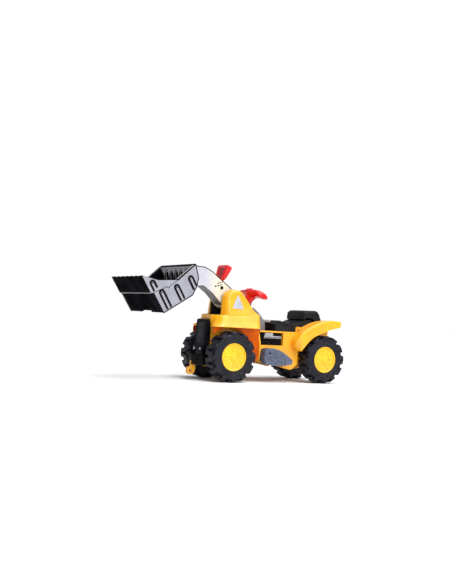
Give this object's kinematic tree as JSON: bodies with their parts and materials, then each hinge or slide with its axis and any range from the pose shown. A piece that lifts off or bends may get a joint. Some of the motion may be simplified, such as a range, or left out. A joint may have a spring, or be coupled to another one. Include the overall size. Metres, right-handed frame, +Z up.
{
  "type": "ride-on toy loader",
  "caption": "Foot-to-floor ride-on toy loader for a small child, with a lifting arm, lever-tipped bucket, raked handlebar and steered front wheels.",
  "frame": {"origin": "on the floor under the middle of the overall box", "axes": "+X forwards, towards the bucket; +Y to the rider's left; +Z up"},
  "size_m": [1.103, 0.34, 0.5356],
  "materials": {
    "body_yellow": "moulded, glossy",
    "hub_yellow": "moulded, satin",
    "black_plastic": "moulded, satin",
    "charcoal_plastic": "moulded, fine grain",
    "grey_plastic": "moulded, fine grain",
    "step_grey": "moulded, ribbed",
    "silver_plastic": "silver-pigmented, satin",
    "belly_grey": "moulded",
    "red_plastic": "moulded, glossy",
    "chrome": "bright plated",
    "steel": "bright steel",
    "tyre_black": "hard plastic, matte"
  },
  "bodies": {
    "chassis": {"chassis": "body_yellow", "hood": "body_yellow", "arm_pivot_pin": "steel", "console": "grey_plastic", "grille": "black_plastic", "grille_panel": "charcoal_plastic", "headlight_left": "chrome", "headlight_right": "chrome", "bumper": "black_plastic", "tow_hook": "body_yellow", "engine_left": "black_plastic", "engine_right": "black_plastic", "exhaust_left": "chrome", "exhaust_right": "chrome", "footrest_left": "step_grey", "footrest_right": "step_grey", "seat": "charcoal_plastic", "backrest": "black_plastic", "rear_fender_left": "body_yellow", "rear_fender_right": "body_yellow", "rear_axle": "steel", "front_axle_beam": "black_plastic", "kingpin_left": "steel", "kingpin_right": "steel"},
    "steering": {"steering_shaft": "steel", "drop_arm": "black_plastic", "handlebar": "red_plastic"},
    "tie_rod": {"tie_rod": "steel"},
    "left_knuckle": {"knuckle_left": "black_plastic"},
    "right_knuckle": {"knuckle_right": "black_plastic"},
    "arm": {"arm_beam": "silver_plastic", "arm_belly": "belly_grey", "bucket_pin": "steel", "lever_pin": "steel"},
    "lever": {"lever_shank": "black_plastic", "lever_grip": "red_plastic", "crank_pin": "steel"},
    "rod": {"push_rod": "steel"},
    "bucket": {"bucket": "black_plastic", "bucket_blade": "black_plastic", "bucket_cheek_left": "silver_plastic", "bucket_cheek_right": "silver_plastic", "ear_pin": "steel"},
    "front_left_wheel": {"tyre_front_left": "tyre_black", "hub_front_left": "hub_yellow", "hub_cap_front_left": "chrome"},
    "front_right_wheel": {"tyre_front_right": "tyre_black", "hub_front_right": "hub_yellow", "hub_cap_front_right": "chrome"},
    "rear_left_wheel": {"tyre_rear_left": "tyre_black", "hub_rear_left": "hub_yellow", "hub_cap_rear_left": "chrome"},
    "rear_right_wheel": {"tyre_rear_right": "tyre_black", "hub_rear_right": "hub_yellow", "hub_cap_rear_right": "chrome"}
  },
  "joints": [
    {"name": "arm_lift", "type": "hinge", "parent": "chassis", "child": "arm", "pos_m": [0.0525, 0, 0.378], "axis": [0, -1, 0], "range_deg": [-40, 10]},
    {"name": "bucket_tilt", "type": "hinge", "parent": "arm", "child": "bucket", "pos_m": [0.2565, 0, 0.474], "axis": [0, 1, 0], "range_deg": [-5, 40]},
    {"name": "lever_pull", "type": "hinge", "parent": "arm", "child": "lever", "pos_m": [0.0945, 0, 0.425], "axis": [0, -1, 0], "range_deg": [-5, 40]},
    {"name": "rod_swing", "type": "hinge", "parent": "lever", "child": "rod", "pos_m": [0.10612, 0, 0.40632], "axis": [0, 1, 0], "range_deg": [-6, 43.5]},
    {"name": "steering_turn", "type": "hinge", "parent": "chassis", "child": "steering", "pos_m": [-0.0905, 0, 0.405], "axis": [-0.3746, 0, 0.9272], "range_deg": [-30, 30]},
    {"name": "steer_left", "type": "hinge", "parent": "chassis", "child": "left_knuckle", "pos_m": [0.0745, 0.064, 0.115], "axis": [0, 0, 1], "range_deg": [-10.5, 10.5]},
    {"name": "steer_right", "type": "hinge", "parent": "chassis", "child": "right_knuckle", "pos_m": [0.0745, -0.064, 0.115], "axis": [0, 0, 1], "range_deg": [-10.5, 10.5]},
    {"name": "tie_rod_slide", "type": "slide", "parent": "chassis", "child": "tie_rod", "axis": [0, 1, 0], "range_m": [-0.0125, 0.0125]},
    {"name": "front_left_spin", "type": "hinge", "parent": "left_knuckle", "child": "front_left_wheel", "pos_m": [0.0745, 0.1205, 0.115], "axis": [0, 1, 0], "continuous": true},
    {"name": "front_right_spin", "type": "hinge", "parent": "right_knuckle", "child": "front_right_wheel", "pos_m": [0.0745, -0.1205, 0.115], "axis": [0, 1, 0], "continuous": true},
    {"name": "rear_left_spin", "type": "hinge", "parent": "chassis", "child": "rear_left_wheel", "pos_m": [-0.4365, 0.1205, 0.115], "axis": [0, 1, 0], "continuous": true},
    {"name": "rear_right_spin", "type": "hinge", "parent": "chassis", "child": "rear_right_wheel", "pos_m": [-0.4365, -0.1205, 0.115], "axis": [0, 1, 0], "continuous": true}
  ],
  "couplings": [
    {"joint": "lever_pull", "follows": "bucket_tilt", "ratio": 1},
    {"joint": "rod_swing", "follows": "bucket_tilt", "ratio": 1.07},
    {"joint": "steer_left", "follows": "steering_turn", "ratio": 0.3365},
    {"joint": "steer_right", "follows": "steering_turn", "ratio": 0.3365},
    {"joint": "tie_rod_slide", "follows": "steering_turn", "m_per_rad": -0.022209}
  ]
}
